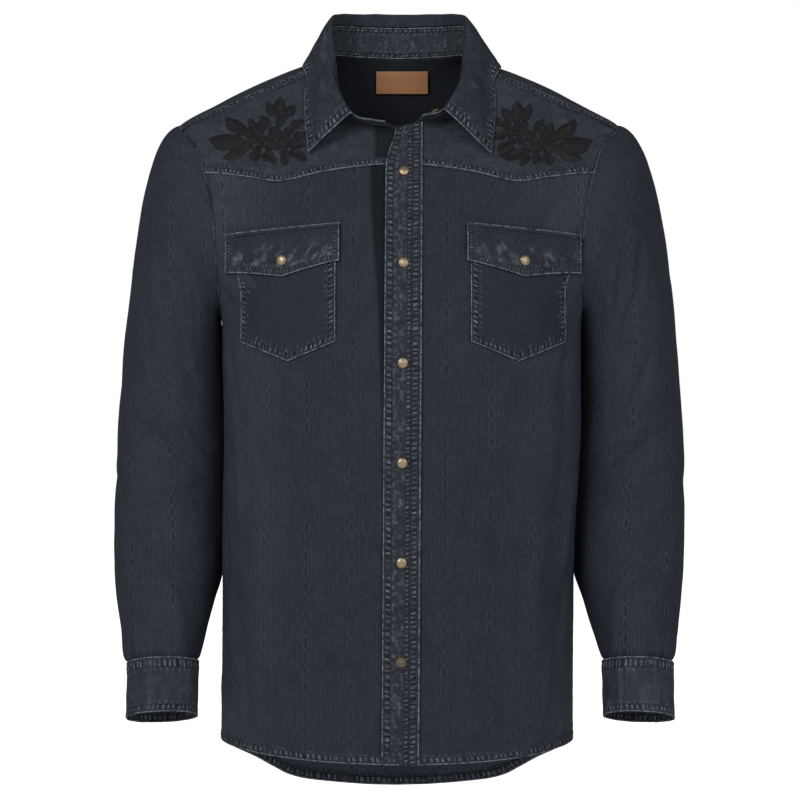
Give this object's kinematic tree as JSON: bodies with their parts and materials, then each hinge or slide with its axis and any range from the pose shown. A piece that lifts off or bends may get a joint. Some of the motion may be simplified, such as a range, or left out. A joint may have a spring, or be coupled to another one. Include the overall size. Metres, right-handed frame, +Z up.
{
  "type": "button-up shirt",
  "caption": "Long-sleeved western button-up shirt, filled out and hollow, with pointed yokes, flap pockets, a turned-down collar, a front strip with snaps, and open neck, hem and cuffs.",
  "frame": {"origin": "middle of the neck, level with the tops of the shoulders, where the wearer carries the shirt", "axes": "+Z up the body, +X towards the wearer's left, +Y towards the wearer's back; the front faces -Y"},
  "size_m": [0.6317, 0.2729, 0.8641],
  "materials": {
    "striped_cloth": "matte",
    "plain_cloth": "matte",
    "label_leather": "matte",
    "snap_brass": "satin",
    "snap_copper": "satin"
  },
  "bodies": {
    "root": {"front_left": "striped_cloth", "front_right": "striped_cloth", "back": "striped_cloth", "sleeve_left": "striped_cloth", "sleeve_right": "striped_cloth", "cuff_left": "striped_cloth", "cuff_right": "striped_cloth", "pocket_left": "striped_cloth", "pocket_right": "striped_cloth", "yoke_front_left": "plain_cloth", "yoke_front_right": "plain_cloth", "yoke_back": "plain_cloth", "slit_left": "plain_cloth", "slit_right": "plain_cloth", "collar_stand": "plain_cloth", "collar": "plain_cloth", "placket": "plain_cloth", "under_placket": "plain_cloth", "flap_left": "plain_cloth", "flap_right": "plain_cloth", "label": "label_leather", "snap_1": "snap_brass", "snap_2": "snap_brass", "snap_3": "snap_brass", "snap_4": "snap_brass", "snap_5": "snap_brass", "snap_flap_left": "snap_brass", "snap_flap_right": "snap_brass", "snap_cuff_left": "snap_brass", "snap_cuff_right": "snap_brass", "snap_stand": "snap_brass", "snap_6": "snap_copper"}
  },
  "joints": []
}
